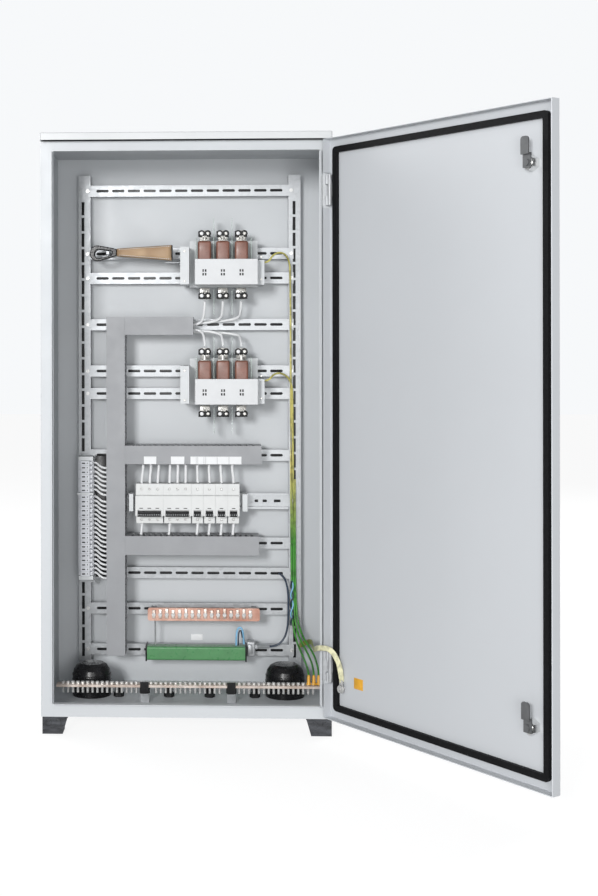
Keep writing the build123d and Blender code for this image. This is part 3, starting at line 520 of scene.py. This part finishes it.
# The terminals stand in two groups, one above the other
terminal_pitch = 10
starts = [289 + terminal_pitch * i for i in range(18)] + [474 + terminal_pitch * i for i in range(7)]
# Painted shade: black blocks on the terminal fronts stand for the shade inside the slots in them
opening_shade, ledges, wire_routes = bmesh.new(), bmesh.new(), []
for z in starts:
    block(opening_shade, (-237, -230), (69.4, 70.5), (z + 3.4, z + 6.2), 0.4)
    block(opening_shade, (-226, -224), (69.4, 70.5), (z + 4, z + 6), 0.4)
    block(ledges, (-219.8, -214), (74, 81.9), (z + 1, z + 8.6), 1.2)
    route = [(-212.5, 95, z + 4.5), (-207, 95, z + 4.5), (-198, 86, z - 3)]
    wire_routes.append(route + [(-189, 84, z - 7), (-181.6, 84, z - 7)])
piece("terminal_opening_shade", opening_shade, "black_plastic")
piece("terminal_ledges", ledges, "terminal_plastic")
# Painted shade: a black plate behind the terminal wires stands for the deep shade between the terminals and the
# duct
wire_gap_shade = bmesh.new()
block(wire_gap_shade, (-209, -184), (98, 100), (283, 553), 0.5)
piece("wire_gap_painted_shade", wire_gap_shade, "black_plastic")

breaker_routes = [[(x, 80, 493.6), (x, 80, 508), (x * 0.97, 78, 524), (x * 0.97, 78, 538.4)] for x in columns]
# Below the row, each single-pole breaker has a wire and each three-pole breaker has one
down = columns[6:] + [columns[0], columns[3]]
breaker_routes += [[(x, 84, 406.3), (x, 84, 396), (x - 2, 82, 380.1)] for x in down]
wires("terminal_wires", wire_routes, 2.5, "wire_white", node="wires_white")
wires("breaker_wires", breaker_routes, 3.2, "wire_white")
fuse_routes = []
for i, x in enumerate(pole_xs):
    level = 86 + 8 * i
    upper, lower = 846 + 2.5 * i, 834 - 2.5 * i
    fuse_routes.append([(10.1, level, upper), (x - 6, level, upper), (x, 71, 884), (x, 71, 898.9)])
    fuse_routes.append([(10.1, level, lower), (x - 6, level, lower), (x, 71, 806), (x, 71, 797.1)])
wires("fuse_wires", fuse_routes, 3, "wire_white")

dividers = bmesh.new()
for x in (16, 19.5, 33, 37, 62, 88):
    block(dividers, (x, x + 0.7), (53.6, 54.2), (539.2, 555), 0.1)
piece("label_dividers", dividers, "duct_pvc")

# Painted shade: dark strips behind the slots of the rails and uprights stand for the deep shade in them
rail_heights = (117.5, 209.5, 289.5, 357, 451.5, 553.5, 691.5, 742, 846, 950, 1005, 1146)
slot_shade = bmesh.new()
for z in rail_heights:
    block(slot_shade, (-219, 219), (121.2, 122), (z - 5, z + 5), 0.2)
for low, high in ((-246, -225), (225, 246)):
    block(slot_shade, (low, high), (123, 123.8), (64, 1177), 0.2)
piece("slot_painted_shade", slot_shade, "black_plastic")

# ---------------------------------------------------------------- bars

saddles, plates, clamp_block = (bmesh.new() for _ in range(3))
for i in range(16):
    x = -78 + 14.2 * i
    block(saddles, (x - 3.6, x + 3.6), (68.2, 71.8), (196.5, 215.5 + 1.5 * (i % 3)), 1.2, 3)
piece("bar_saddles", saddles, "earth_bar_metal")
for x in (-96.9, 123.6):
    block(plates, (x, x + 3.3), (72, 118.2), (101, 135), 1)
    inner = x + (3.3 if x < 0 else -5.5)
    block(plates, (inner, inner + 5.4), (84, 94), (112, 124), 1)
block(clamp_block, (127.2, 146), (92, 118.2), (108, 142), 3, 3)
block(clamp_block, (129, 139), (84, 94), (116, 136), 2)
turned(clamp_block, (146, 100, 130), [(0, -2), (7, -2), (7, 5), (5, 6), (4, 6)], "X", 6)
thread = [(3.4 + 0.6 * (i % 2), 6 + 0.9 * i) for i in range(28)]
turned(clamp_block, (146, 100, 130), [(0, 5.9), (3.4, 5.9), *thread, (0, 31.2)], "X", 20)
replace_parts(piece("bar_end_plates", plates, "black_plastic"), "covered_bar_brackets")
piece("bar_side_clamp", clamp_block, "zinc")

ribs = bmesh.new()
for x in (-211, 209):
    for radius, z in ((43, 62), (42.4, 74), (41.6, 86)):
        ring(ribs, (x, 23, z), radius, 1.1, "Z")
piece("grommet_ribs", ribs, "black_rubber", smooth=60)

wall_label = bmesh.new()
block(wall_label, (2.4, 28.8), (147.7, 148.45), (132.6, 146.2), 0.2)
piece("wall_label", wall_label, "label_white")

# ---------------------------------------------------------------- loose wires

rod_route = [(-76, 86, 190.9), (-76, 92, 175), (-76, 96, 150), (-76, 96, 133.1)]
wires("link_rod", [rod_route], 1.6, "zinc", node="wires_dark")
dark_route = [(178.1, 100, 130), (190, 100, 130), (207, 101, 141), (218, 104, 165)]
dark_route += [(220.5, 106, 205), (220, 107, 250), (214, 107, 278), (203, 108, 289.5)]
dark_route += [(200, 113, 289.5), (200, 118.2, 289.5)]
wires("earth_lead_dark", [dark_route], 2.2, "wire_dark")
blue_route = [(104, 90, 134), (104, 88, 158), (108, 87, 174)]
blue_route += [(116, 87, 174), (120, 88, 158), (121, 96, 136)]
wires("blue_link", [blue_route], 2.2, "wire_blue", node="wires_blue")
navy_route = [(108.5, 88, 134), (108.5, 86, 156), (111, 85, 168), (115, 85, 168), (117, 87, 152)]
wires("navy_link", [navy_route], 1.3, "wire_dark")

earth_routes = [
    [(166.1, 62, 982), (176, 62, 982), (186, 64, 1000), (206, 76, 1006), (222, 98, 992), (226.5, 112, 960)]
    + [(226.5, 112, 210), (234, 96, 150), (250, 30, 120), (256, -30, 109), (256, -50, 100), (256, -50, 87)],
    [(166.1, 62, 722), (176, 62, 722), (188, 66, 738), (208, 82, 738), (226, 103, 722), (231.2, 112, 688)]
    + [(231.2, 112, 215), (240, 96, 155), (262, 30, 125), (267, -30, 112), (267, -50, 101), (267, -50, 87)],
    [(235.4, 117, 500), (235.4, 112, 462), (235.4, 112, 220), (246, 96, 160), (272, 30, 130), (277, -30, 114)]
    + [(277, -50, 102), (277, -50, 87)],
]
wires("earth_wires", earth_routes, 2.1, "wire_earth", node="wires_earth")
twisted = [
    [(228 + 3.4 * sin(i * 1.35), 105 + 2 * cos(i * 1.35), 275 - 9 * i) for i in range(12)],
    [(228 - 3.4 * sin(i * 1.35), 105 - 2 * cos(i * 1.35), 275 - 9 * i) for i in range(12)],
]
wires("twisted_blue", twisted[:1], 1.7, "wire_blue")
wires("twisted_dark", twisted[1:], 1.7, "wire_dark")
lugs = bmesh.new()
lug_profile = [(0, 0), (5, 0), (5, 2.5), (3.4, 5), (3.4, 17), (2.3, 20), (0, 20)]
for x in (256, 267, 277):
    turned(lugs, (x, -50, 82), lug_profile)
piece("lug_sleeves", lugs, "wire_earth", look="orange_plastic")

strap_route = [
    (245, 119.8, 130),
    (245, 108, 130),
    (262, 96, 142),
    (268, 40, 154),
    (266, -30, 158),
    (265, -100, 166),
    (264, -150, 180),
    (270, -178, 188),
    (290, -184, 188),
]
for spot in ((-23, 5.5, 174), (-33, 0.5, 150), (-33, -2.5, 122)):
    strap_route.append(tuple(door_matrix @ (Vector(spot) / 1000) * 1000))
strap = wires("earth_strap_band", [strap_route], 0.9, "strap", body=None, node="earth_strap", flat=9)
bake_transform(strap)

# ---------------------------------------------------------------- door fittings

lug, sticker = bmesh.new(), bmesh.new()
block(lug, (-38, -28), (-1.2, 0.4), (112, 126), 0.6)
turned(lug, (-33, 0, 108), [(4.3, -1.2), (8.6, -1.2), (8.6, 0.4), (4.3, 0.4), (4.3, -1.2)], "Y")
piece("strap_lug", lug, "zinc_screw", "door", door_matrix)
block(sticker, (-92, -65), (-7.45, -7.1), (115, 137), 0.12)
piece("earth_sticker", sticker, "wire_earth", "door", door_matrix, look="orange_plastic")

# ---------------------------------------------------------------- puller sleeve


def sleeve_at(u):
    """Place along X, and the low and high edges, at a fraction u of the sleeve's length."""
    return -157.7 + 120.3 * u, 995.8 - 9.8 * u, 1013.2 + 7.5 * u


sleeve, rings_made, around = bmesh.new(), [], 40
for i in range(33):
    u = i / 32
    pinch = min(1, 6 * u + 0.45, 6 * (1 - u) + 0.6)
    x, low, high = sleeve_at(u)
    middle, half = (low + high) / 2, (high - low) / 2
    depth = 13.5 * pinch * (1 - 0.05 * sin(9 * u))
    loop = []
    for j in range(around):
        a = 2 * pi * j / around
        across = abs(cos(a)) ** 0.55 * (1 if cos(a) > 0 else -1)
        out = abs(sin(a)) ** 0.7 * (1 if sin(a) > 0 else -1)
        loop.append(sleeve.verts.new((x, 60 + depth * out, middle + half * across)))
    rings_made.append(loop)
for lower, upper in zip(rings_made, rings_made[1:]):
    for j in range(around):
        sleeve.faces.new((lower[j], lower[(j + 1) % around], upper[(j + 1) % around], upper[j]))
sleeve.faces.new(rings_made[0])
sleeve.faces.new(rings_made[-1])
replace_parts(piece("leather_sleeve", sleeve, "sleeve_leather", "puller", smooth=60), "puller_sleeve")
stitches = bmesh.new()
for i in range(1, 24):
    x, low, high = sleeve_at(i / 24.5)
    for z in (low + 3, high - 3):
        block(stitches, (x, x + 2.8), (47.6, 50.5), (z - 0.5, z + 0.5), 0.3)
piece("sleeve_stitching", stitches, "sleeve_leather", "puller", look="wire_white")
collar = bmesh.new()
block(collar, (-37.3, -35.2), (47, 73), (986.5, 1020), 0.8)
piece("sleeve_end_band", collar, "sleeve_leather", "puller", look="black_rubber")

# ---------------------------------------------------------------- camera, light and floor

camera_data = bpy.data.cameras.new("camera")
camera = bpy.data.objects.new("camera", camera_data)
camera.location = (0.0815, -3.0817, 0.819)
camera.rotation_euler = (pi / 2, 0.0013, 0.0387)
camera_data.lens = 57.38
camera_data.shift_x = 0.1435
camera_data.shift_y = -0.1243
camera_data.clip_end = 50
scene.collection.objects.link(camera)
scene.camera = camera

scene.view_settings.view_transform = "Standard"

# The world lights the object dimly, and shows itself as a white backdrop
world = bpy.data.worlds.new("studio")
world.use_nodes = True
studio = world.node_tree
background = studio.nodes["Background"]
seen = studio.nodes.new("ShaderNodeLightPath").outputs["Is Camera Ray"]
strength = studio.nodes.new("ShaderNodeMapRange")
strength.inputs["To Min"].default_value = 0.4
strength.inputs["To Max"].default_value = 0.96
studio.links.new(seen, strength.inputs["Value"])
studio.links.new(strength.outputs["Result"], background.inputs["Strength"])
background.inputs["Color"].default_value = (0.97, 0.985, 1, 1)
scene.world = world


def softbox(name, location, target, size, power):
    """Square area light aimed at a point."""
    light = bpy.data.lights.new(name, "AREA")
    light.size = size
    light.energy = power
    obj = bpy.data.objects.new(name, light)
    obj.location = location
    obj.rotation_euler = (Vector(target) - Vector(location)).to_track_quat("-Z", "Y").to_euler()
    obj.visible_camera = False
    scene.collection.objects.link(obj)


softbox("key", (-1.25, -5.0, 1.65), (0.05, 0, 0.6), 0.9, 150)
softbox("fill", (0.6, -4.5, 0.45), (0, 0, 0.5), 1.5, 60)
softbox("back_right", (3.0, 2.8, 2.2), (0.2, 0, 0.6), 2, 80)
softbox("back_left", (-3.2, 1.8, 2.0), (-0.2, 0, 0.6), 2, 80)

# The floor glows, so that it shows about as white as the backdrop
floor_mesh = bmesh.new()
bmesh.ops.create_grid(floor_mesh, x_segments=1, y_segments=1, size=12)
floor_data = bpy.data.meshes.new("floor")
floor_mesh.to_mesh(floor_data)
floor_mesh.free()
floor = bpy.data.objects.new("floor", floor_data)
scene.collection.objects.link(floor)
floor_material, floor_tree, floor_shader, _ = new_material("floor_white")
floor_shader.inputs["Base Color"].default_value = (0.15, 0.15, 0.15, 1)
floor_shader.inputs["Roughness"].default_value = 0.9
floor_shader.inputs["Emission Color"].default_value = (1, 1, 1, 1)
floor_seen = floor_tree.nodes.new("ShaderNodeLightPath").outputs["Is Camera Ray"]
floor_glow = floor_tree.nodes.new("ShaderNodeMapRange")
floor_glow.inputs["To Min"].default_value = 0.34
floor_glow.inputs["To Max"].default_value = 0.86
floor_tree.links.new(floor_seen, floor_glow.inputs["Value"])
floor_tree.links.new(floor_glow.outputs["Result"], floor_shader.inputs["Emission Strength"])
floor_data.materials.append(floor_material)
